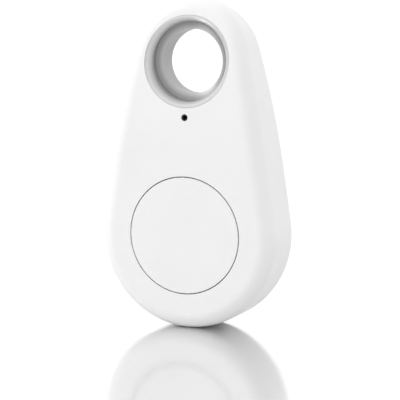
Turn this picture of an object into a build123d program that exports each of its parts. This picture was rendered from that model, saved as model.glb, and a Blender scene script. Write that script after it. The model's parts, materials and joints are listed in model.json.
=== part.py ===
from build123d import *
import math
import os

# Teardrop Bluetooth tracker tag, 52 mm tall, standing upright. Millimetres.
# +X is to the right of the front, +Y points to the back, +Z is up.
# The origin is on the axis of the key ring eyelet, half way through the bulb's thickness.

# ---- Driving dimensions: the case ----
HEIGHT = 52.0
EYELET_ABOVE_BASE = 42.2
TIP_RADIUS = 9.65
BULB_RADIUS = 14.7
FLANK_RADIUS = 320.0
THICKNESS = 11.6
FRONT_DOME_RADIUS = 125.0
BACK_DOME_RADIUS = 88.0
DOME_START_ABOVE_BASE = 28.5
FRONT_EDGE_RADIUS = 2.3
BACK_EDGE_RADIUS = 3.0
WALL = 1.3
COVER_DEPTH = 1.7
FIT_GAP = 0.06

# ---- Driving dimensions: the eyelet ----
FRONT_RING_RADIUS = 7.17
FRONT_RING_TUBE = 6.46
BACK_RING_RADIUS = 7.2
BACK_RING_TUBE = 6.95
LIP_RADIUS = 5.07
LIP_FRONT_Y = -2.5
WELL_RADIUS = 6.12
WELL_FLOOR_Y = -3.15
RING_JOINT_Y = 0.75
SOCKET_JOINT_Y = 0.35
RING_GAP = 0.04
RING_SEAT_GAP = 0.04
COLLAR_DEPTH = 1.4
RIM_SINK = 0.1
FRONT_MOUTH = [(7.09, 0.0), (6.67, 0.33), (6.21, 1.0)]
BACK_MOUTH = [(7.12, 0.0), (6.34, 1.72)]

# ---- Driving dimensions: the button and its switch ----
BUTTON_ABOVE_BASE = 14.93
BUTTON_RADIUS = 9.19
BUTTON_HOLE_RADIUS = 9.35
BUTTON_FLANGE_RADIUS = 10.3
BUTTON_EDGE_ROUND = 0.08
PLUNGER_TIP_Y = -3.0

# ---- Driving dimensions: the electronics ----
BOARD_FRONT_Y = -0.6
BOARD_THICKNESS = 0.8
BOARD_INSET = 1.55
CELL_RADIUS = 10.0
CELL_THICKNESS = 3.2
CELL_NEAR_Y = 0.65
INDICATOR_ABOVE_BASE = 33.5
INDICATOR_RADIUS = 0.55

# ---- Derived places ----
BASE_Z = -EYELET_ABOVE_BASE
TOP_Z = BASE_Z + HEIGHT
TIP_Z = TOP_Z - TIP_RADIUS
BULB_Z = BASE_Z + BULB_RADIUS
DOME_Z = BASE_Z + DOME_START_ABOVE_BASE
BUTTON_Z = BASE_Z + BUTTON_ABOVE_BASE
INDICATOR_Z = BASE_Z + INDICATOR_ABOVE_BASE
FRONT_Y = -THICKNESS / 2
BACK_Y = THICKNESS / 2
INNER_FRONT_Y = FRONT_Y + WALL
INNER_BACK_Y = BACK_Y - WALL
BOARD_BACK_Y = BOARD_FRONT_Y + BOARD_THICKNESS
CELL_FAR_Y = CELL_NEAR_Y + CELL_THICKNESS
SEAM_Y = BACK_Y - COVER_DEPTH
REACH = 30.0

PART_FOLDER = "parts"


# ---- Shared shapes ----
def rod(x, z, radius, y0, y1):
    """A cylinder along Y, from y0 to y1."""
    return Pos(x, (y0 + y1) / 2, z) * Rot(90, 0, 0) * Cylinder(radius, y1 - y0)


def tube(x, z, outer, inner, y0, y1):
    """A plain ring along Y."""
    return rod(x, z, outer, y0, y1) - rod(x, z, inner, y0 - 1, y1 + 1)


def block(x, z, width, height, y0, y1):
    """A box centred on x and z that runs from y0 to y1."""
    return Pos(x, (y0 + y1) / 2, z) * Box(width, y1 - y0, height)


def soft_block(x, z, width, height, y0, y1, corner):
    """A block whose corners are rounded as seen from the front."""
    body = block(x, z, width, height, y0, y1)
    return fillet(body.edges().filter_by(Axis.Y), corner)


def dome_sag(radius, z):
    """How far a domed face has fallen away from its flat part at height z."""
    rise = max(0.0, z - DOME_Z)
    return radius - math.sqrt(radius * radius - rise * rise)


def dome_lean(radius, z):
    """The angle in degrees between a domed face at height z and the vertical."""
    return math.degrees(math.asin((z - DOME_Z) / radius))


def outline(inset):
    """The teardrop seen from the front, as a face at y = 0: a tip, a bulb and two shallow flank arcs."""
    tip, bulb, flank = TIP_RADIUS - inset, BULB_RADIUS - inset, FLANK_RADIUS - inset
    to_tip, to_bulb = FLANK_RADIUS - TIP_RADIUS, FLANK_RADIUS - BULB_RADIUS
    centre_z = (TIP_Z + BULB_Z) / 2 - (to_tip**2 - to_bulb**2) / (2 * (TIP_Z - BULB_Z))
    centre_x = math.sqrt(to_tip**2 - (TIP_Z - centre_z) ** 2)
    tip_angle = math.atan2(TIP_Z - centre_z, centre_x)
    bulb_angle = math.atan2(BULB_Z - centre_z, centre_x)
    middle = (tip_angle + bulb_angle) / 2

    def on_arc(radius, x, z, angle, side):
        return (side * (x + radius * math.cos(angle)), 0, z + radius * math.sin(angle))

    right_tip = on_arc(tip, 0, TIP_Z, tip_angle, 1)
    left_tip = on_arc(tip, 0, TIP_Z, tip_angle, -1)
    right_bulb = on_arc(bulb, 0, BULB_Z, bulb_angle, 1)
    left_bulb = on_arc(bulb, 0, BULB_Z, bulb_angle, -1)
    edges = [
        ThreePointArc(right_tip, (0, 0, TIP_Z + tip), left_tip),
        ThreePointArc(left_tip, on_arc(flank, -centre_x, centre_z, middle, -1), left_bulb),
        ThreePointArc(left_bulb, (0, 0, BULB_Z - bulb), right_bulb),
        ThreePointArc(right_bulb, on_arc(flank, -centre_x, centre_z, middle, 1), right_tip),
    ]
    return Face(Wire(edges))


def prism(inset, y0, y1):
    """The teardrop outline, drawn in by inset, as a straight prism from y0 to y1."""
    return extrude(Pos(0, y0, 0) * outline(inset), amount=y1 - y0, dir=(0, 1, 0))


def slab(front_inset, back_inset):
    """All the space between the domed front and back faces, each drawn in towards the middle."""
    top = TOP_Z + 5
    bottom = BASE_Z - 5
    front, back = FRONT_Y + front_inset, BACK_Y - back_inset
    front_radius = FRONT_DOME_RADIUS - front_inset
    back_radius = BACK_DOME_RADIUS - back_inset
    middle = (top + DOME_Z) / 2

    def front_point(z):
        return (0, front + dome_sag(front_radius, z), z)

    def back_point(z):
        return (0, back - dome_sag(back_radius, z), z)

    edges = [
        Line((0, front, bottom), front_point(DOME_Z)),
        ThreePointArc(front_point(DOME_Z), front_point(middle), front_point(top)),
        Line(front_point(top), back_point(top)),
        ThreePointArc(back_point(top), back_point(middle), back_point(DOME_Z)),
        Line(back_point(DOME_Z), (0, back, bottom)),
        Line((0, back, bottom), (0, front, bottom)),
    ]
    return extrude(Face(Wire(edges)), amount=REACH, dir=(1, 0, 0), both=True)


def rim_edges(body, front):
    """The edges all round the front or back face, without the line where its dome starts."""
    found = ShapeList()
    for edge in body.edges():
        centre = edge.center()
        is_dome_line = edge.geom_type == GeomType.LINE and abs(centre.X) < 0.01
        along_y = abs((edge @ 0 - edge @ 1).Y) > 2.0
        if (centre.Y < 0) == front and not is_dome_line and not along_y:
            found.append(edge)
    return found


def envelope(inset):
    """The whole case's outer form, drawn in by inset on every side."""
    body = prism(inset, FRONT_Y - 1, BACK_Y + 1) & slab(inset, inset)
    body = fillet(rim_edges(body, True), FRONT_EDGE_RADIUS - inset)
    return fillet(rim_edges(body, False), BACK_EDGE_RADIUS - inset)


OUTER = envelope(0)
INNER = envelope(WALL)
FRONT_LEAN = dome_lean(FRONT_DOME_RADIUS, 0)
BACK_LEAN = dome_lean(BACK_DOME_RADIUS, 0)
FRONT_RIM_Y = FRONT_Y + dome_sag(FRONT_DOME_RADIUS, 0)
BACK_RIM_Y = BACK_Y - dome_sag(BACK_DOME_RADIUS, 0)

BOARD_POSTS = [(-7.4, -13.4), (7.4, -13.4), (-8.0, -36.1), (8.0, -36.1)]
POST_RADIUS = 1.25
STAKE_RADIUS = 0.5
STAKE_HEAD_RADIUS = 0.85
COVER_PEGS = [(-9.5, -17.6), (9.5, -17.6)]
PEG_RADIUS = 0.7
PEG_BOSS_RADIUS = 1.35
PEG_BOSS_END_Y = BOARD_BACK_Y + 0.8


# ---- Case ----
def front_shell():
    """Deep front casing: face, side walls, eyelet socket, board posts and sockets for the cover's pegs."""
    socket_wall = 0.55
    stake_head_height = 0.3
    root_depth = 0.5
    ahead_of_seam = slab(-1.0, COVER_DEPTH + FIT_GAP / 2)
    cavity = prism(WALL, INNER_FRONT_Y - 1, BACK_Y + 1) & slab(WALL, -2.0)
    cavity = fillet(rim_edges(cavity, True), FRONT_EDGE_RADIUS - WALL)
    shell = (OUTER & ahead_of_seam) - cavity

    socket = rod(0, 0, FRONT_RING_RADIUS + socket_wall, FRONT_RIM_Y, SOCKET_JOINT_Y - 0.1)
    shell += socket & slab(root_depth, root_depth)
    for x, z in BOARD_POSTS:
        shell += rod(x, z, POST_RADIUS, INNER_FRONT_Y - root_depth, BOARD_FRONT_Y)
        shell += rod(x, z, STAKE_RADIUS, BOARD_FRONT_Y - root_depth, BOARD_BACK_Y + 0.1)
        shell += rod(x, z, STAKE_HEAD_RADIUS, BOARD_BACK_Y, BOARD_BACK_Y + stake_head_height)
    for x, z in COVER_PEGS:
        shell += rod(x, z, PEG_BOSS_RADIUS, INNER_FRONT_Y - root_depth, PEG_BOSS_END_Y)
        shell -= rod(x, z, PEG_RADIUS + FIT_GAP, INNER_FRONT_Y + 0.6, PEG_BOSS_END_Y + 1)

    shell -= rod(0, 0, FRONT_RING_RADIUS + RING_SEAT_GAP, FRONT_Y - 1, FRONT_RIM_Y + COLLAR_DEPTH)
    shell -= rod(0, 0, FRONT_RING_TUBE + RING_SEAT_GAP, FRONT_Y, BACK_Y)
    shell -= rod(0, BUTTON_Z, BUTTON_HOLE_RADIUS, FRONT_Y - 1, INNER_FRONT_Y + 1)
    shell -= rod(0, INDICATOR_Z, INDICATOR_RADIUS, FRONT_Y - 1, INNER_FRONT_Y + 1)
    hole_rim = [
        e for e in shell.edges().filter_by(GeomType.CIRCLE)
        if abs(e.radius - BUTTON_HOLE_RADIUS) < 0.01 and e.center().Y < FRONT_Y + 0.1
    ]
    return fillet(hole_rim, BUTTON_EDGE_ROUND)


def rear_cover():
    """Shallow back cover: skin, locating lip, eyelet socket, two pegs, ribs over the cell, pry notch."""
    lip_outer = WALL + FIT_GAP
    lip_thickness, lip_depth = 0.8, 1.0
    socket_wall = 0.79
    root_depth = 0.2
    peg_length_past_board = 1.2
    rib_radius, rib_length, rib_thickness, rib_clearance = 6.2, 5.0, 0.8, 0.12
    notch_width, notch_height, notch_depth = 7.0, 2.0, 0.75
    cover = OUTER - slab(-1.0, COVER_DEPTH - FIT_GAP / 2) - INNER

    lip = prism(lip_outer, FRONT_Y, BACK_Y) - prism(lip_outer + lip_thickness, FRONT_Y - 1, BACK_Y + 1)
    lip = (lip & slab(0, 0.9)) - slab(-1.0, COVER_DEPTH + lip_depth)
    cover += lip

    cover += rod(0, 0, BACK_RING_TUBE + socket_wall, SOCKET_JOINT_Y + 0.05, BACK_Y) & slab(0, 0.6)
    for x, z in COVER_PEGS:
        cover += rod(x, z, PEG_BOSS_RADIUS, PEG_BOSS_END_Y + 0.6, INNER_BACK_Y + root_depth)
        cover += rod(x, z, PEG_RADIUS, BOARD_FRONT_Y - peg_length_past_board, INNER_BACK_Y)
    for angle in (90, 210, 330):
        x = rib_radius * math.cos(math.radians(angle))
        z = BUTTON_Z + rib_radius * math.sin(math.radians(angle))
        rib = block(0, 0, rib_length, rib_thickness, CELL_FAR_Y + rib_clearance, INNER_BACK_Y + root_depth)
        cover += Pos(x, 0, z) * Rot(0, -angle, 0) * rib

    cover -= rod(0, 0, BACK_RING_RADIUS + RING_SEAT_GAP, BACK_RIM_Y - COLLAR_DEPTH, BACK_Y + 1)
    cover -= rod(0, 0, BACK_RING_TUBE + RING_SEAT_GAP, FRONT_Y, BACK_Y + 1)
    return cover - block(0, BASE_Z, notch_width, notch_height, SEAM_Y - 1, SEAM_Y + notch_depth)


def upright_disc(radius, y):
    """A flat disc that faces along the eyelet's axis."""
    return Pos(0, y, 0) * Rot(90, 0, 0) * Circle(radius).face()


def to_rim(rim_y, lean):
    """The place of a rim that faces the front and leans back with the domed face round it."""
    return Pos(0, rim_y + RIM_SINK, 0) * Rot(-lean, 0, 0)


def ring_blank(collar, sleeve, bore, rim_y, end_y):
    """A grommet that faces the front, before its mouth is cut: collar, sleeve and straight bore."""
    clear = 3.0
    ring = rod(0, 0, collar, rim_y - clear / 2, rim_y + COLLAR_DEPTH - 0.03)
    ring += rod(0, 0, sleeve, rim_y, end_y)
    return ring - rod(0, 0, bore, rim_y - clear, end_y + 1)


def mouth_cutter(steps):
    """Cutter for a mouth whose wall runs through steps of (radius, depth), and all ahead of its rim."""
    clear = 3.0
    reach = steps[0][0] + 1
    corners = [(0, -clear), (reach, -clear), (reach, 0), *steps, (0, steps[-1][1])]
    return revolve(make_face(Polyline(*corners, close=True)), Axis.Y, 360)


def front_eyelet_ring():
    """Grommet pressed in from the front: bevelled rim, cone, well, shoulder and narrow straight lip."""
    ring = ring_blank(FRONT_RING_RADIUS, FRONT_RING_TUBE, LIP_RADIUS, FRONT_RIM_Y, RING_JOINT_Y)
    rim = to_rim(FRONT_RIM_Y, FRONT_LEAN)
    cone_radius, cone_depth = FRONT_MOUTH[-1]
    floor = upright_disc(WELL_RADIUS, WELL_FLOOR_Y)
    well = loft([rim * upright_disc(cone_radius, cone_depth), floor], ruled=True)
    shoulder = loft([floor, upright_disc(LIP_RADIUS, LIP_FRONT_Y)], ruled=True)
    return (ring - rim * mouth_cutter(FRONT_MOUTH) - well - shoulder) & OUTER


def rear_eyelet_ring():
    """The wider grommet in the back cover. It meets the front ring end to end and opens in one cone."""
    bore = BACK_MOUTH[-1][0]
    ring = ring_blank(BACK_RING_RADIUS, BACK_RING_TUBE, bore, -BACK_RIM_Y, -RING_JOINT_Y - RING_GAP)
    ring -= to_rim(-BACK_RIM_Y, BACK_LEAN) * mouth_cutter(BACK_MOUTH)
    return mirror(ring, Plane.XZ) & OUTER


# ---- Button and tactile switch ----
def button_cap():
    """Round button: flush disc, retaining flange behind the face, stiffening rib and pressing post."""
    flange_front = INNER_FRONT_Y + 0.05
    flange_back = flange_front + 0.6
    rib_outer, rib_inner, rib_height = 7.6, 6.9, 0.5
    post_radius = 2.4
    cap = rod(0, BUTTON_Z, BUTTON_RADIUS, FRONT_Y, flange_front + 0.1)
    cap = fillet(cap.edges().filter_by(GeomType.CIRCLE).sort_by(Axis.Y)[0], BUTTON_EDGE_ROUND)
    cap += rod(0, BUTTON_Z, BUTTON_FLANGE_RADIUS, flange_front, flange_back)
    cap += tube(0, BUTTON_Z, rib_outer, rib_inner, flange_back - 0.1, flange_back + rib_height)
    return cap + rod(0, BUTTON_Z, post_radius, flange_back - 0.1, PLUNGER_TIP_Y)


SWITCH_SIZE = 6.0
SWITCH_TOP_Y = BOARD_FRONT_Y - 1.7
SWITCH_POCKET_RADIUS = 2.35
DOME_CROWN_Y = SWITCH_TOP_Y + 0.62
DOME_RISE = 0.42


def switch_base():
    """Moulded switch body with a round pocket for the snap dome."""
    base = soft_block(0, BUTTON_Z, SWITCH_SIZE, SWITCH_SIZE, SWITCH_TOP_Y + 0.2, BOARD_FRONT_Y, 0.3)
    return base - rod(0, BUTTON_Z, SWITCH_POCKET_RADIUS, SWITCH_TOP_Y, DOME_CROWN_Y + DOME_RISE + 0.01)


def switch_frame():
    """Steel top plate of the switch with two folded side clips."""
    frame = soft_block(0, BUTTON_Z, SWITCH_SIZE, SWITCH_SIZE, SWITCH_TOP_Y, SWITCH_TOP_Y + 0.2, 0.3)
    clip_x = SWITCH_SIZE / 2 + 0.08
    for side in (-1, 1):
        frame += block(side * clip_x, BUTTON_Z, 0.16, 2.2, SWITCH_TOP_Y, BOARD_FRONT_Y - 0.5)
    return frame - rod(0, BUTTON_Z, 1.72, SWITCH_TOP_Y - 1, SWITCH_TOP_Y + 1)


def switch_dome():
    """Domed snap disc that gives the click and returns the button."""
    radius, sheet = 2.15, 0.08
    ball = (radius**2 + DOME_RISE**2) / (2 * DOME_RISE)
    cap = rod(0, BUTTON_Z, radius, DOME_CROWN_Y - 0.5, DOME_CROWN_Y + DOME_RISE)
    centre = Pos(0, DOME_CROWN_Y + ball, BUTTON_Z)
    return cap & (centre * Sphere(ball) - centre * Sphere(ball - sheet))


def switch_plunger():
    """Actuator of the switch: a stem through the frame and a collar that keeps it in."""
    plunger = rod(0, BUTTON_Z, 1.65, PLUNGER_TIP_Y, SWITCH_TOP_Y + 0.25)
    return plunger + rod(0, BUTTON_Z, 2.05, SWITCH_TOP_Y + 0.24, SWITCH_TOP_Y + 0.58)


def switch_terminals():
    """Four bent terminals soldered to the board."""
    terminals = []
    for side in (-1, 1):
        for level in (-1, 1):
            z = BUTTON_Z + level * 2.25
            leg = block(side * (SWITCH_SIZE / 2 + 0.1), z, 0.2, 0.7, BOARD_FRONT_Y - 0.7, BOARD_FRONT_Y)
            foot = block(side * (SWITCH_SIZE / 2 + 0.6), z, 1.0, 0.7, BOARD_FRONT_Y - 0.2, BOARD_FRONT_Y)
            terminals.append(leg + foot)
    return Compound(terminals)


# ---- Circuit board and what is soldered to it ----
CELL_HOLDER_RADIUS = 11.2
HOLDER_FLOOR = 0.4
CONTACT_TAILS = [(-11.7, BUTTON_Z), (0.0, BUTTON_Z - 4.6)]
LEAF_HEIGHT = 4.8
TAIL_RADIUS = 0.35


def circuit_board():
    """Teardrop board below the eyelet, notched round the peg sockets, drilled for stakes and tails."""
    drill_gap, notch_gap, ring_gap = 0.05, 0.15, 0.7
    board = prism(BOARD_INSET, BOARD_FRONT_Y, BOARD_BACK_Y)
    board -= rod(0, 0, FRONT_RING_RADIUS + ring_gap, FRONT_Y, BACK_Y)
    board -= block(0, 7.0, 40, 24, FRONT_Y, BACK_Y)
    for x, z in BOARD_POSTS:
        board -= rod(x, z, STAKE_RADIUS + drill_gap, FRONT_Y, BACK_Y)
    for x, z in COVER_PEGS:
        reach = math.copysign(3.0, x)
        board -= rod(x, z, PEG_BOSS_RADIUS + notch_gap, FRONT_Y, BACK_Y)
        board -= block(x + reach / 2, z, abs(reach), 2 * (PEG_BOSS_RADIUS + notch_gap), FRONT_Y, BACK_Y)
    for x, z in CONTACT_TAILS:
        board -= rod(x, z, TAIL_RADIUS + drill_gap, FRONT_Y, BACK_Y)
    return board


def on_board(x, z, width, height, tall, corner=0.0):
    """A component body standing on the board's front face."""
    if corner:
        return soft_block(x, z, width, height, BOARD_FRONT_Y - tall, BOARD_FRONT_Y, corner)
    return block(x, z, width, height, BOARD_FRONT_Y - tall, BOARD_FRONT_Y)


def radio_chip():
    chip = on_board(-7.4, -27.6, 4.0, 4.0, 0.85, 0.1)
    return chip - rod(-8.8, -26.2, 0.25, FRONT_Y, BOARD_FRONT_Y - 0.8)


def radio_crystal():
    base = on_board(-7.4, -22.6, 3.2, 2.5, 0.35, 0.2)
    return base + on_board(-7.4, -22.6, 2.9, 2.2, 0.75, 0.4)


def clock_crystal():
    base = on_board(7.2, -23.2, 3.2, 1.5, 0.3, 0.15)
    return base + on_board(7.2, -23.2, 2.9, 1.2, 0.65, 0.2)


CHIP_SIZE = (1.0, 0.5)
CAPACITOR_PLACES = [
    (-4.2, -31.2), (-5.6, -31.2), (-7.0, -31.2), (-8.4, -31.2),
    (-10.6, -26.6), (-10.6, -28.0), (-4.6, -19.6), (-9.6, -20.4),
    (5.2, -31.4), (6.6, -31.4),
]
RESISTOR_PLACES = [(5.6, -27.4), (6.9, -27.4), (8.2, -27.4), (5.6, -20.6), (-5.6, -9.4), (5.6, -9.4)]


def small_chips(places, tall):
    """A group of 1.0 x 0.5 mm two-ended chip parts, each its own solid."""
    width, depth = CHIP_SIZE
    return Compound([on_board(x, z, depth, width, tall) for x, z in places])


def matching_inductors():
    return Compound([on_board(x, -34.2, 0.8, 1.6, 0.8, 0.1) for x in (-1.4, 1.4)])


def printed_antenna():
    """Copper meander along the board's lower edge."""
    copper, track, pitch, low, high = 0.07, 0.45, 1.5, -39.5, -37.6
    legs = 8
    first_x = -pitch * (legs - 1) / 2
    trace = None
    for number in range(legs):
        x = first_x + pitch * number
        leg = on_board(x, (low + high) / 2, track, high - low, copper)
        trace = leg if trace is None else trace + leg
        if number < legs - 1:
            level = high - track / 2 if number % 2 else low + track / 2
            trace += on_board(x + pitch / 2, level, pitch + track, track, copper)
    return trace + on_board(first_x, high + 0.7, track, 1.6, copper)


def indicator_led_base():
    return on_board(0, INDICATOR_Z, 1.6, 0.8, 0.3)


def indicator_led_lens():
    lens = block(0, INDICATOR_Z, 1.1, 0.8, BOARD_FRONT_Y - 0.62, BOARD_FRONT_Y - 0.3)
    return fillet(lens.faces().sort_by(Axis.Y)[0].edges(), 0.1)


def indicator_sleeve():
    """Dark sleeve that lines the small front hole and shields the light down to the board."""
    wall, collar_radius, collar_end_y = 0.15, 0.9, -4.0
    sag = dome_sag(FRONT_DOME_RADIUS, INDICATOR_Z)
    sleeve = rod(0, INDICATOR_Z, INDICATOR_RADIUS - 0.01, FRONT_Y + sag + 0.08, BOARD_FRONT_Y - 0.7)
    sleeve += rod(0, INDICATOR_Z, collar_radius, INNER_FRONT_Y + sag + 0.05, collar_end_y)
    return sleeve - rod(0, INDICATOR_Z, INDICATOR_RADIUS - wall, FRONT_Y - 1, BOARD_FRONT_Y)


# ---- Sounder ----
SOUNDER_Z = -13.3
SOUNDER_SIZE = 7.0
SOUNDER_FRONT_Y = BOARD_FRONT_Y - 2.8
SOUNDER_BASE_TOP_Y = BOARD_FRONT_Y - 0.35
SOUNDER_SEAT_Y = SOUNDER_FRONT_Y + 0.8


def sounder_case():
    case = soft_block(0, SOUNDER_Z, SOUNDER_SIZE, SOUNDER_SIZE, SOUNDER_FRONT_Y, SOUNDER_BASE_TOP_Y, 0.5)
    case -= rod(0, SOUNDER_Z, 3.1, SOUNDER_SEAT_Y, BOARD_FRONT_Y)
    case -= rod(0, SOUNDER_Z, 2.8, SOUNDER_FRONT_Y + 0.4, SOUNDER_SEAT_Y + 0.1)
    return case - rod(0, SOUNDER_Z + 2.0, 0.55, SOUNDER_FRONT_Y - 1, SOUNDER_SEAT_Y)


def sounder_base():
    return soft_block(0, SOUNDER_Z, SOUNDER_SIZE, SOUNDER_SIZE, SOUNDER_BASE_TOP_Y, BOARD_FRONT_Y, 0.5)


def sounder_pole():
    pole = rod(0, SOUNDER_Z, 2.95, SOUNDER_BASE_TOP_Y - 0.25, SOUNDER_BASE_TOP_Y)
    return pole + rod(0, SOUNDER_Z, 0.6, SOUNDER_SEAT_Y + 0.35, SOUNDER_BASE_TOP_Y - 0.2)


def sounder_coil():
    coil = tube(0, SOUNDER_Z, 1.55, 0.66, SOUNDER_SEAT_Y + 0.4, SOUNDER_BASE_TOP_Y - 0.28)
    return fillet(coil.edges().filter_by(GeomType.CIRCLE), 0.12)


def sounder_magnet():
    return tube(0, SOUNDER_Z, 2.75, 1.95, SOUNDER_SEAT_Y + 0.45, SOUNDER_BASE_TOP_Y - 0.27)


def sounder_diaphragm():
    disc = rod(0, SOUNDER_Z, 3.04, SOUNDER_SEAT_Y + 0.01, SOUNDER_SEAT_Y + 0.07)
    return disc + rod(0, SOUNDER_Z, 1.2, SOUNDER_SEAT_Y - 0.14, SOUNDER_SEAT_Y + 0.05)


# ---- Coin cell and its holder ----
def cell_can():
    """Positive can: the flat far face and the side wall, with a rounded edge."""
    can = rod(0, BUTTON_Z, CELL_RADIUS, CELL_NEAR_Y + 0.35, CELL_FAR_Y)
    can = fillet(can.edges().filter_by(GeomType.CIRCLE).sort_by(Axis.Y)[-1], 0.4)
    can = fillet(can.edges().filter_by(GeomType.CIRCLE).sort_by(Axis.Y)[0], 0.25)
    return can - rod(0, BUTTON_Z, CELL_RADIUS - 0.3, CELL_NEAR_Y - 1, CELL_FAR_Y - 0.3)


def cell_gasket():
    return tube(0, BUTTON_Z, CELL_RADIUS - 0.32, 8.95, CELL_NEAR_Y + 0.2, CELL_FAR_Y - 0.35)


def cell_cap():
    """Negative cap, filled with the active materials, facing the board."""
    cap = rod(0, BUTTON_Z, 8.9, CELL_NEAR_Y, CELL_FAR_Y - 0.33)
    return fillet(cap.edges().filter_by(GeomType.CIRCLE).sort_by(Axis.Y)[0], 0.3)


def cell_holder():
    """Open moulded ring for the cell, with two finger gaps and a window for the side contact."""
    rim_y = CELL_NEAR_Y + 2.5
    cell_gap, well_radius, finger_gap = 0.15, 6.2, 7.5
    holder = rod(0, BUTTON_Z, CELL_HOLDER_RADIUS, BOARD_BACK_Y, rim_y)
    holder -= rod(0, BUTTON_Z, CELL_RADIUS + cell_gap, BOARD_BACK_Y + HOLDER_FLOOR, BACK_Y)
    holder -= rod(0, BUTTON_Z, well_radius, FRONT_Y, BACK_Y)
    across = 2 * CELL_HOLDER_RADIUS + 2
    holder -= block(0, BUTTON_Z, finger_gap, across, BOARD_BACK_Y + HOLDER_FLOOR, BACK_Y)
    window_x = -(CELL_RADIUS + 0.7)
    return holder - block(window_x, BUTTON_Z, 2.4, LEAF_HEIGHT + 0.6, FRONT_Y, BACK_Y)


def positive_contact():
    """Side contact: a leaf against the can's wall, a foot on the board and a tail through it."""
    x, z = CONTACT_TAILS[0]
    sheet = 0.2
    inner, outer = CELL_RADIUS + 0.06, CELL_RADIUS + 0.06 + sheet
    leaf = tube(0, z, outer, inner, BOARD_BACK_Y, CELL_NEAR_Y + 2.2)
    leaf = leaf & block(-CELL_RADIUS, z, 2.0, LEAF_HEIGHT, FRONT_Y, BACK_Y)
    foot_end = abs(x) + 0.6
    foot = block(-(inner + foot_end) / 2, z, foot_end - inner, 2.0, BOARD_BACK_Y, BOARD_BACK_Y + sheet)
    return leaf + foot + rod(x, z, TAIL_RADIUS, BOARD_FRONT_Y - 0.4, BOARD_BACK_Y + sheet)


def negative_contact():
    """Leaf under the cell's cap: a flat foot and two raised fingers."""
    x, z = CONTACT_TAILS[1]
    foot = soft_block(0, BUTTON_Z - 2.2, 4.0, 6.4, BOARD_BACK_Y, BOARD_BACK_Y + 0.15, 0.4)
    tail = rod(x, z, TAIL_RADIUS, BOARD_FRONT_Y - 0.4, BOARD_BACK_Y + 0.15)
    contact = foot + tail
    for side in (-1, 1):
        finger_x = side * 1.25
        bump_z = BUTTON_Z + 4.2
        start = (finger_x, BOARD_BACK_Y + 0.075, BUTTON_Z + 0.6)
        riser = Line(start, (finger_x, CELL_NEAR_Y - 0.16, bump_z))
        section = Plane(riser @ 0, x_dir=(1, 0, 0), z_dir=riser % 0) * Rectangle(1.2, 0.15)
        contact += sweep(section, riser)
        contact += Pos(finger_x, CELL_NEAR_Y - 0.14, bump_z) * Box(1.2, 0.2, 0.7)
    return contact


NODES = {
    "front_shell": front_shell,
    "rear_cover": rear_cover,
    "front_eyelet_ring": front_eyelet_ring,
    "rear_eyelet_ring": rear_eyelet_ring,
    "button_cap": button_cap,
    "switch_base": switch_base,
    "switch_frame": switch_frame,
    "switch_dome": switch_dome,
    "switch_plunger": switch_plunger,
    "switch_terminals": switch_terminals,
    "circuit_board": circuit_board,
    "printed_antenna": printed_antenna,
    "radio_chip": radio_chip,
    "radio_crystal": radio_crystal,
    "clock_crystal": clock_crystal,
    "chip_capacitors": lambda: small_chips(CAPACITOR_PLACES, 0.5),
    "chip_resistors": lambda: small_chips(RESISTOR_PLACES, 0.35),
    "matching_inductors": matching_inductors,
    "indicator_led_base": indicator_led_base,
    "indicator_led_lens": indicator_led_lens,
    "indicator_sleeve": indicator_sleeve,
    "sounder_case": sounder_case,
    "sounder_base": sounder_base,
    "sounder_pole": sounder_pole,
    "sounder_coil": sounder_coil,
    "sounder_magnet": sounder_magnet,
    "sounder_diaphragm": sounder_diaphragm,
    "cell_holder": cell_holder,
    "positive_contact": positive_contact,
    "negative_contact": negative_contact,
    "cell_can": cell_can,
    "cell_gasket": cell_gasket,
    "cell_cap": cell_cap,
}

os.makedirs(PART_FOLDER, exist_ok=True)
for node, build in NODES.items():
    export_step(build(), os.path.join(PART_FOLDER, node + ".step"))
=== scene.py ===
import json
import math

import bpy
from mathutils import Matrix, Quaternion, Vector


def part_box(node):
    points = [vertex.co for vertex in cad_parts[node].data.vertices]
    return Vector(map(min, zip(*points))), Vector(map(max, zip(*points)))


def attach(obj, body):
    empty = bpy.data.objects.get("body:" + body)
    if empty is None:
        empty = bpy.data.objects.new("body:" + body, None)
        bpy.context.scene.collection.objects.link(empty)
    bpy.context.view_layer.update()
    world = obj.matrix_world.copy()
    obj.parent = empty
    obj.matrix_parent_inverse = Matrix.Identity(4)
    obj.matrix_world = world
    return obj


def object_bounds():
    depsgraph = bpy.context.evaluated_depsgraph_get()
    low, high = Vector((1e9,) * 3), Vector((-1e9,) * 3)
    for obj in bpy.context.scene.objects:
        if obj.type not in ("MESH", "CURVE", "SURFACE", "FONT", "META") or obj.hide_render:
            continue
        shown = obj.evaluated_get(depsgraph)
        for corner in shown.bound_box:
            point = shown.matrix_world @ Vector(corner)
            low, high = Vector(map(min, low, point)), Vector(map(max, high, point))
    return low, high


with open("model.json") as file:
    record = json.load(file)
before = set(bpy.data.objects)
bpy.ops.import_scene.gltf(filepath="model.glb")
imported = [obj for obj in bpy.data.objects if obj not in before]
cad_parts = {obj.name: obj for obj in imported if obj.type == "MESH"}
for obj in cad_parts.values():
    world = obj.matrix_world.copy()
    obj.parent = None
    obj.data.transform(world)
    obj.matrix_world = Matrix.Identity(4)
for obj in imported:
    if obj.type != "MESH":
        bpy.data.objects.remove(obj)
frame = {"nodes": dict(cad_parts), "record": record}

# A teardrop Bluetooth tracker tag standing on a glossy white floor. Metres, in the CAD model's frame.
MM = 0.001
CAD_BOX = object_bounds()
CAD_LOW, CAD_HIGH = (Vector(corner) for corner in CAD_BOX)
FLOOR_Z = CAD_LOW.z


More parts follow.
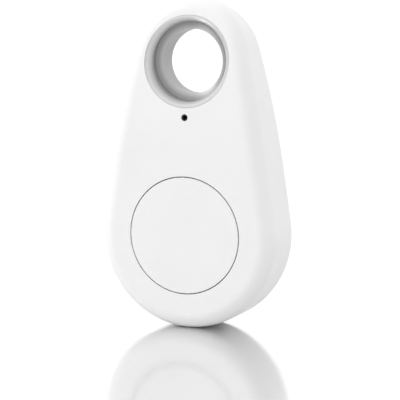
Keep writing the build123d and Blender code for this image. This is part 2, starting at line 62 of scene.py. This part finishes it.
# ---- Camera ----
AZIMUTH = math.radians(23.5)
ELEVATION = math.radians(7.16)
ROLL = math.radians(0.26)
DISTANCE = 245.1 * MM
LENS = 137.8
SENSOR_WIDTH = 36.0
NEAREST, FARTHEST = 0.01, 20.0
AIM = Vector((0.24 * MM, 0.0, FLOOR_Z + 19.96 * MM))


def place_camera():
    """A long lens, a little to the right of the tag's front and a little above its middle."""
    data = bpy.data.cameras.new("camera")
    data.sensor_width = SENSOR_WIDTH
    data.lens = LENS
    data.clip_start = NEAREST
    data.clip_end = FARTHEST
    camera = bpy.data.objects.new("camera", data)
    outward = Vector((
        math.sin(AZIMUTH) * math.cos(ELEVATION),
        -math.cos(AZIMUTH) * math.cos(ELEVATION),
        math.sin(ELEVATION),
    ))
    facing = (-outward).to_track_quat("-Z", "Y")
    tilt = Quaternion((0.0, 0.0, 1.0), ROLL)
    camera.matrix_world = Matrix.LocRotScale(AIM + outward * DISTANCE, facing @ tilt, None)
    bpy.context.scene.collection.objects.link(camera)
    bpy.context.scene.camera = camera


# ---- Node tree helpers ----
def add_node(tree, kind, values=None, **settings):
    """A new shader node with its settings and the values of its unlinked inputs."""
    node = tree.nodes.new(kind)
    for name, value in settings.items():
        setattr(node, name, value)
    for name, value in (values or {}).items():
        node.inputs[name].default_value = value
    return node


def grey(value):
    return (value, value, value, 1.0)


def new_surface(name, **constants):
    """A material with one Principled surface. Returns the material, its tree and the shader."""
    material = bpy.data.materials.new(name)
    material.use_nodes = True
    tree = material.node_tree
    tree.nodes.clear()
    shader = add_node(tree, "ShaderNodeBsdfPrincipled", constants)
    output = add_node(tree, "ShaderNodeOutputMaterial")
    tree.links.new(shader.outputs["BSDF"], output.inputs["Surface"])
    return material, tree, shader


UNSTRETCHED = (1.0, 1.0, 1.0)


def object_place(tree, stretch=UNSTRETCHED):
    """The point on the object in metres, stretched along each axis."""
    place = add_node(tree, "ShaderNodeTexCoord")
    mapping = add_node(tree, "ShaderNodeMapping", {"Scale": stretch})
    tree.links.new(place.outputs["Object"], mapping.inputs["Vector"])
    return mapping.outputs["Vector"]


def noise(tree, place, size, detail=2.0, roughness=0.5):
    """Soft noise whose blotches are about size metres across, from 0 to 1."""
    node = add_node(tree, "ShaderNodeTexNoise", {
        "Scale": 1.0 / size, "Detail": detail, "Roughness": roughness,
    })
    tree.links.new(place, node.inputs["Vector"])
    return node.outputs["Fac"]


def wave(tree, place, size, distortion, direction):
    """Waves from 0 to 1 that follow each other along one axis. A larger size makes them longer."""
    values = {"Scale": 1.0 / size, "Distortion": distortion}
    node = add_node(tree, "ShaderNodeTexWave", values, bands_direction=direction)
    tree.links.new(place, node.inputs["Vector"])
    return node.outputs["Fac"]


def spread(tree, value, low, high, start=0.3, end=0.7):
    """Maps a value from start..end to low..high. The defaults are where most of a noise lies."""
    node = add_node(tree, "ShaderNodeMapRange", {
        "From Min": start, "From Max": end, "To Min": low, "To Max": high,
    })
    tree.links.new(value, node.inputs["Value"])
    return node.outputs["Result"]


def mix_colours(tree, factor, first, second, blend="MIX"):
    """Blends two colours. The factor and the colours are plain values or sockets."""
    node = add_node(tree, "ShaderNodeMix", data_type="RGBA", blend_type=blend)
    for name, kind, source in (("Factor", "VALUE", factor), ("A", "RGBA", first), ("B", "RGBA", second)):
        socket = next(s for s in node.inputs if s.name == name and s.type == kind)
        if isinstance(source, (float, tuple)):
            socket.default_value = source
        else:
            tree.links.new(source, socket)
    return next(s for s in node.outputs if s.type == "RGBA")


def relief(tree, shader, height, depth, strength, below=None):
    """Adds surface relief of the given depth in metres, on top of any relief below it."""
    node = add_node(tree, "ShaderNodeBump", {"Strength": strength, "Distance": depth})
    tree.links.new(height, node.inputs["Height"])
    if below is not None:
        tree.links.new(below, node.inputs["Normal"])
    tree.links.new(node.outputs["Normal"], shader.inputs["Normal"])
    return node.outputs["Normal"]


def shade(colour, factor):
    return tuple(channel * factor for channel in colour[:3]) + (1.0,)


# ---- Materials ----
def moulded_plastic(name, colour, roughness, grain_depth=0.0015 * MM, mottle=0.02):
    """Moulded plastic: a very fine spark-eroded grain, soft waves, faint mottling and uneven gloss."""
    material, tree, shader = new_surface(name, IOR=1.48)
    place = object_place(tree)
    flow = noise(tree, place, 7 * MM, detail=3.0)
    colour_socket = mix_colours(tree, spread(tree, flow, 0.0, 1.0), shade(colour, 1.0 - mottle), colour)
    tree.links.new(colour_socket, shader.inputs["Base Color"])
    handling = noise(tree, place, 2.4 * MM, detail=4.0)
    gloss = spread(tree, handling, roughness - 0.035, roughness + 0.035)
    tree.links.new(gloss, shader.inputs["Roughness"])
    waves = noise(tree, place, 4 * MM, detail=1.0)
    soft = relief(tree, shader, waves, 0.004 * MM, 0.5)
    grain = noise(tree, place, 0.12 * MM, detail=3.0)
    relief(tree, shader, grain, grain_depth, 1.0, below=soft)
    return material


def axis_distance(tree, centre=Vector((0.0, 0.0, 0.0))):
    """How far a point on the object is from the line along Y through the centre, in metres."""
    place = add_node(tree, "ShaderNodeTexCoord")
    around = add_node(tree, "ShaderNodeMapping", {
        "Location": (-centre.x, 0.0, -centre.z), "Scale": (1.0, 0.0, 1.0),
    })
    tree.links.new(place.outputs["Object"], around.inputs["Vector"])
    radius = add_node(tree, "ShaderNodeVectorMath", operation="LENGTH")
    tree.links.new(around.outputs["Vector"], radius.inputs["Vector"])
    return radius.outputs["Value"]


# Distances from the eyelet's axis between which the painted shade goes over from the lip into the darker
# well, and from the well into the rim's own grey.
PAINTED_SHADE_LIP_TO_WELL = (5.20 * MM, 5.80 * MM)
PAINTED_SHADE_WELL_TO_RIM = (6.14 * MM, 6.50 * MM)


def eyelet_grey_with_painted_shade(name, rim_grey, well_painted_shade, lip_painted_shade):
    """Satin metallic grey plastic in its own grey on the bevelled rim, with painted shade that makes it
    dark down the well and less dark on the lip.
    """
    material, tree, shader = new_surface(name, Metallic=0.25, IOR=1.4)
    place = object_place(tree)
    radius = axis_distance(tree)
    # Painted shade: the grey darkens from the lip down into the well, then lightens again to the rim's own
    # grey.
    painted_well_shade_mask = spread(tree, radius, 0.0, 1.0, *PAINTED_SHADE_LIP_TO_WELL)
    painted_inner_shade = mix_colours(tree, painted_well_shade_mask, grey(lip_painted_shade), grey(well_painted_shade))
    rim_clear_of_painted_shade = spread(tree, radius, 0.0, 1.0, *PAINTED_SHADE_WELL_TO_RIM)
    tone = mix_colours(tree, rim_clear_of_painted_shade, painted_inner_shade, grey(rim_grey))
    flow = spread(tree, noise(tree, place, 3 * MM), 0.0, 1.0)
    mottle = mix_colours(tree, flow, grey(0.97), grey(1.0))
    tinted = mix_colours(tree, 1.0, tone, mottle, blend="MULTIPLY")
    tree.links.new(tinted, shader.inputs["Base Color"])
    gloss = spread(tree, noise(tree, place, 1.5 * MM), 0.32, 0.38)
    tree.links.new(gloss, shader.inputs["Roughness"])
    relief(tree, shader, noise(tree, place, 0.3 * MM), 0.0006 * MM, 0.4)
    return material


def sheet_metal(name, colour, roughness, stretch=(1.0, 1.0, 30.0)):
    """Rolled or stamped sheet: cloudy plating, with fine lines across Z or, unstretched, an even grain."""
    material, tree, shader = new_surface(name, Metallic=1.0)
    place = object_place(tree)
    cloud = noise(tree, place, 1.8 * MM, detail=3.0)
    colour_socket = mix_colours(tree, spread(tree, cloud, 0.0, 1.0), shade(colour, 0.88), colour)
    tree.links.new(colour_socket, shader.inputs["Base Color"])
    lines = noise(tree, object_place(tree, stretch), 0.25 * MM, detail=4.0, roughness=0.7)
    tree.links.new(spread(tree, lines, roughness - 0.08, roughness + 0.10), shader.inputs["Roughness"])
    relief(tree, shader, lines, 0.002 * MM, 0.6)
    return material


def turned_metal(name, colour, roughness, centre):
    """Bright stamped steel: very fine rings round the given centre, with light handling scratches."""
    material, tree, shader = new_surface(name, Metallic=1.0)
    ring_width = 0.12 * MM
    values = {"Scale": 1.0 / ring_width, "Detail": 2.0}
    rings = add_node(tree, "ShaderNodeTexNoise", values, noise_dimensions="1D")
    tree.links.new(axis_distance(tree, centre), rings.inputs["W"])
    cloud = noise(tree, object_place(tree), 3 * MM, detail=3.0)
    colour_socket = mix_colours(tree, spread(tree, cloud, 0.0, 1.0), shade(colour, 0.90), colour)
    tree.links.new(colour_socket, shader.inputs["Base Color"])
    gloss = spread(tree, rings.outputs["Fac"], roughness - 0.05, roughness + 0.07)
    tree.links.new(gloss, shader.inputs["Roughness"])
    soft = relief(tree, shader, rings.outputs["Fac"], 0.0012 * MM, 0.7)
    scuffs = noise(tree, object_place(tree, (1.0, 1.0, 0.12)), 0.12 * MM, detail=5.0, roughness=0.75)
    relief(tree, shader, scuffs, 0.001 * MM, 0.5, below=soft)
    return material


def board_laminate(name, mask):
    """Solder mask over glass cloth: the weave shows faintly through a green lacquer of uneven gloss."""
    material, tree, shader = new_surface(name, **{
        "IOR": 1.52, "Coat Weight": 0.4, "Coat Roughness": 0.12,
    })
    place = object_place(tree)
    flow = spread(tree, noise(tree, place, 3 * MM), 0.0, 1.0)
    tint = mix_colours(tree, flow, shade(mask, 0.85), mask)
    tree.links.new(tint, shader.inputs["Base Color"])
    gloss = spread(tree, noise(tree, place, 1.2 * MM), 0.28, 0.40)
    tree.links.new(gloss, shader.inputs["Roughness"])
    below = None
    for direction in ("X", "Z"):
        threads = wave(tree, place, 1.6 * MM, 0.6, direction)
        below = relief(tree, shader, threads, 0.002 * MM, 0.3, below=below)
    return material


def wound_copper(name, colour):
    """Enamelled wire laid turn beside turn along Y, with painted shade in the grooves between the turns.
    """
    material, tree, shader = new_surface(name, **{
        "Metallic": 1.0, "Coat Weight": 0.5, "Coat Roughness": 0.1,
    })
    place = object_place(tree)
    turns_and_groove_shade = wave(tree, place, 0.5 * MM, 0.2, "Y")
    # Painted shade: the copper is darker in the grooves between the turns.
    colour_socket = mix_colours(tree, turns_and_groove_shade, shade(colour, 0.55), colour)
    tree.links.new(colour_socket, shader.inputs["Base Color"])
    gloss = spread(tree, noise(tree, place, 0.6 * MM), 0.22, 0.38)
    tree.links.new(gloss, shader.inputs["Roughness"])
    relief(tree, shader, turns_and_groove_shade, 0.02 * MM, 0.8)
    return material


def fired_ceramic(name, colour):
    """Ceramic or ferrite body: matt, speckled and slightly pitted."""
    material, tree, shader = new_surface(name, IOR=1.6)
    place = object_place(tree)
    speckle = noise(tree, place, 0.08 * MM, detail=4.0)
    colour_socket = mix_colours(tree, spread(tree, speckle, 0.0, 1.0), shade(colour, 0.72), colour)
    tree.links.new(colour_socket, shader.inputs["Base Color"])
    tree.links.new(spread(tree, speckle, 0.45, 0.62), shader.inputs["Roughness"])
    relief(tree, shader, speckle, 0.006 * MM, 0.6)
    return material


def clear_resin(name):
    """The indicator's clear lens, faintly yellow, with small ripples."""
    material, tree, shader = new_surface(name, **{"IOR": 1.5, "Transmission Weight": 0.75})
    place = object_place(tree)
    haze = noise(tree, place, 0.4 * MM)
    straw, pale_straw = (0.92, 0.88, 0.62, 1.0), (0.95, 0.93, 0.80, 1.0)
    tint = mix_colours(tree, spread(tree, haze, 0.0, 1.0), straw, pale_straw)
    tree.links.new(tint, shader.inputs["Base Color"])
    tree.links.new(spread(tree, haze, 0.10, 0.22), shader.inputs["Roughness"])
    relief(tree, shader, haze, 0.004 * MM, 0.5)
    return material


def floor_surface():
    """A polished, mirror-like white sheet with the faintest unevenness in its gloss."""
    material, tree, shader = new_surface("floor_mirror", Metallic=0.85)
    place = object_place(tree)
    cloud = noise(tree, place, 60 * MM)
    tint = mix_colours(tree, spread(tree, cloud, 0.0, 1.0), grey(0.86), grey(0.88))
    tree.links.new(tint, shader.inputs["Base Color"])
    tree.links.new(spread(tree, cloud, 0.11, 0.13), shader.inputs["Roughness"])
    return material


def slot_materials():
    """One material for each of the record's material slots."""
    cell_low, cell_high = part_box("cell_can")
    cell_centre = (cell_low + cell_high) / 2
    coarse_grain = 0.003 * MM
    return {
        "case_plastic": moulded_plastic("case_plastic", grey(0.74), 0.36),
        # The eyelet's well and lip greys are painted shade; the rim grey is the plastic's own.
        "grey_plastic": eyelet_grey_with_painted_shade("grey_plastic", rim_grey=0.60, well_painted_shade=0.27, lip_painted_shade=0.44),
        "sleeve_rubber": moulded_plastic("sleeve_rubber", grey(0.06), 0.55, coarse_grain, mottle=0.2),
        "black_plastic": moulded_plastic("black_plastic", grey(0.022), 0.42, coarse_grain, mottle=0.25),
        "plated_steel": sheet_metal("plated_steel", (0.70, 0.69, 0.66, 1.0), 0.28),
        "tinned_metal": sheet_metal("tinned_metal", (0.76, 0.76, 0.77, 1.0), 0.34, UNSTRETCHED),
        "board_laminate": board_laminate("board_laminate", (0.010, 0.12, 0.045, 1.0)),
        "gold_copper": wound_copper("gold_copper", (0.86, 0.50, 0.22, 1.0)),
        "capacitor_ceramic": fired_ceramic("capacitor_ceramic", (0.50, 0.36, 0.22, 1.0)),
        "clear_epoxy": clear_resin("clear_epoxy"),
        "magnet_ferrite": fired_ceramic("magnet_ferrite", (0.06, 0.06, 0.065, 1.0)),
        "cell_steel": turned_metal("cell_steel", (0.74, 0.73, 0.71, 1.0), 0.26, cell_centre),
    }


def dress_nodes(materials, exceptions):
    """Gives every CAD node the finish of its material slot, or its own finish if it is an exception."""
    for part in frame["record"]["subparts"]:
        piece = frame["nodes"][part["node"]]
        for holder in piece.material_slots:
            holder.material = exceptions.get(part["node"], materials[part["material_slot"]])


# ---- Fine detail that is too thin for the CAD model ----
FOIL = 0.035 * MM            # thickness of the board's copper
PLATED = FOIL * 1.6          # copper with its plating
RUN_COUNT = 7
RUN_PITCH = 1.2 * MM
RUN_WIDTH = 0.25 * MM
RUN_JOG = 0.5 * MM           # how far each run steps outward at its bend
RUN_TOP, RUN_BEND, RUN_BOTTOM = -9.4 * MM, -11.8 * MM, -15.3 * MM
VIA_RADII = (0.32 * MM, 0.15 * MM)
TEST_PAD_RADII = (0.5 * MM, 0.22 * MM)
TEST_PAD_X = 6.0 * MM
TEST_PAD_TOP, TEST_PAD_PITCH, TEST_PAD_LEVELS = -9.8 * MM, 1.5 * MM, 3
PLUS_ARM, PLUS_WIDTH, PLUS_HEIGHT = 2.2 * MM, 0.7 * MM, 0.03 * MM


def add_piece(name, points, faces, material, body, slot):
    """A closed mesh piece that moves with a body of the frame."""
    mesh = bpy.data.meshes.new(name)
    mesh.from_pydata(points, [], faces)
    mesh.materials.append(material)
    piece = bpy.data.objects.new(name, mesh)
    bpy.context.scene.collection.objects.link(piece)
    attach(piece, body)


def ribbon(route, width, height, y):
    """Points and faces of a flat strip along a route in X and Z, with sloping sides and mitred corners."""
    half, slope = width / 2, height / 2
    section = [(-half, 0.0), (-half + slope, height), (half - slope, height), (half, 0.0)]
    points, faces = [], []
    route = [Vector(point) for point in route]
    for number, here in enumerate(route):
        before = (here - route[number - 1]).normalized() if number else None
        after = (route[number + 1] - here).normalized() if number < len(route) - 1 else None
        run = ((before or after) + (after or before)).normalized()
        stretch = 1.0 / run.dot(after or before)
        aside = Vector((-run.y, run.x)) * stretch
        points += [(here.x + aside.x * side, y + rise, here.y + aside.y * side) for side, rise in section]
    count = len(section)
    for row in range(len(route) - 1):
        for column in range(count):
            first, second = row * count + column, row * count + (column + 1) % count
            faces.append((first, second, second + count, first + count))
    faces += [tuple(range(count)), tuple(range(len(points) - 1, len(points) - 1 - count, -1))]
    return points, faces


def eyelet_pad(x, z, outer, inner, height, y, segments=28):
    """Points and faces of a small plated ring with sloping edges."""
    slope = height * 0.6
    section = [(outer, 0.0), (outer - slope, height), (inner + slope, height), (inner, 0.0)]
    points, faces = [], []
    for step in range(segments):
        angle = math.tau * step / segments
        points += [(x + r * math.cos(angle), y + rise, z + r * math.sin(angle)) for r, rise in section]
    count = len(section)
    for step in range(segments):
        here = step * count
        following = (step + 1) % segments * count
        for column in range(count):
            side = (column + 1) % count
            faces.append((here + column, here + side, following + side, following + column))
    return points, faces


def join_shapes(shapes):
    """One list of points and one of faces from several shapes."""
    points, faces = [], []
    for shape_points, shape_faces in shapes:
        start = len(points)
        points += shape_points
        faces += [tuple(start + index for index in face) for face in shape_faces]
    return points, faces


def detail_board(mask_over_copper, gold):
    """Copper runs under the mask on the board's back, a plated via at each end, and plated test pads."""
    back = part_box("circuit_board")[1].y
    runs, vias = [], []
    for number in range(RUN_COUNT):
        x = (number - RUN_COUNT // 2) * RUN_PITCH
        end_x = x + (RUN_JOG if x >= 0 else -RUN_JOG)
        route = [(x, RUN_TOP), (x, RUN_BEND), (end_x, RUN_BEND - RUN_JOG), (end_x, RUN_BOTTOM)]
        runs.append(ribbon(route, RUN_WIDTH, FOIL, back))
        for via_x, via_z in (route[0], route[-1]):
            vias.append(eyelet_pad(via_x, via_z, *VIA_RADII, PLATED, back))
    for side in (-1, 1):
        for level in range(TEST_PAD_LEVELS):
            pad_z = TEST_PAD_TOP - TEST_PAD_PITCH * level
            vias.append(eyelet_pad(side * TEST_PAD_X, pad_z, *TEST_PAD_RADII, PLATED, back))
    add_piece("board_traces", *join_shapes(runs), mask_over_copper, "root", "board_laminate")
    add_piece("board_vias", *join_shapes(vias), gold, "root", "gold_copper")


def detail_cell(etched):
    """The plus sign on the cell's can. The upright bar is lower, so that their tops don't clash."""
    low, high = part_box("cell_can")
    centre = (low + high) / 2
    across = [(centre.x - PLUS_ARM, centre.z), (centre.x + PLUS_ARM, centre.z)]
    upright = [(centre.x, centre.z - PLUS_ARM), (centre.x, centre.z + PLUS_ARM)]
    bars = [
        ribbon(across, PLUS_WIDTH, PLUS_HEIGHT, high.y),
        ribbon(upright, PLUS_WIDTH, PLUS_HEIGHT * 0.9, high.y),
    ]
    add_piece("cell_plus_mark", *join_shapes(bars), etched, "cell", "cell_steel")


# ---- Floor, light and background ----
FLOOR_SIZE = 6.0
SURROUND_STRENGTH = 1.20
SOFT_BOX_SIZE = 0.4
SOFT_BOX_POWER = 3.0
SOFT_BOX_OFFSET = Vector((-0.75, -0.38, 0.55))


def lay_floor():
    """A flat square sheet at the height of the tag's lowest point."""
    mesh = bpy.data.meshes.new("floor")
    half = FLOOR_SIZE / 2
    corners = [(-half, -half, 0.0), (half, -half, 0.0), (half, half, 0.0), (-half, half, 0.0)]
    mesh.from_pydata(corners, [], [(0, 1, 2, 3)])
    mesh.materials.append(floor_surface())
    floor = bpy.data.objects.new("floor", mesh)
    floor.location.z = FLOOR_Z
    bpy.context.scene.collection.objects.link(floor)


def area_light(name, place, aim, size, power):
    """A square soft box that faces the point it is aimed at."""
    data = bpy.data.lights.new(name, "AREA")
    data.size = size
    data.energy = power
    light = bpy.data.objects.new(name, data)
    facing = (aim - place).to_track_quat("-Z", "Y")
    light.matrix_world = Matrix.LocRotScale(place, facing, None)
    bpy.context.scene.collection.objects.link(light)


def light_studio():
    """An even white surround, with one soft box in front of the tag, to its left and above it."""
    world = bpy.data.worlds.new("surround")
    world.use_nodes = True
    background = world.node_tree.nodes["Background"]
    background.inputs["Color"].default_value = grey(1.0)
    background.inputs["Strength"].default_value = SURROUND_STRENGTH
    bpy.context.scene.world = world
    middle = (CAD_LOW + CAD_HIGH) / 2
    area_light("soft_box", middle + SOFT_BOX_OFFSET, middle, SOFT_BOX_SIZE, SOFT_BOX_POWER)


place_camera()
gold_plating = sheet_metal("gold_plating", (0.86, 0.62, 0.28, 1.0), 0.30, UNSTRETCHED)
dress_nodes(slot_materials(), {"printed_antenna": gold_plating})
detail_board(board_laminate("mask_over_copper", (0.03, 0.26, 0.09, 1.0)), gold_plating)
detail_cell(sheet_metal("etched_steel", (0.30, 0.30, 0.30, 1.0), 0.45))
lay_floor()
light_studio()
bpy.context.scene.view_settings.view_transform = "Standard"
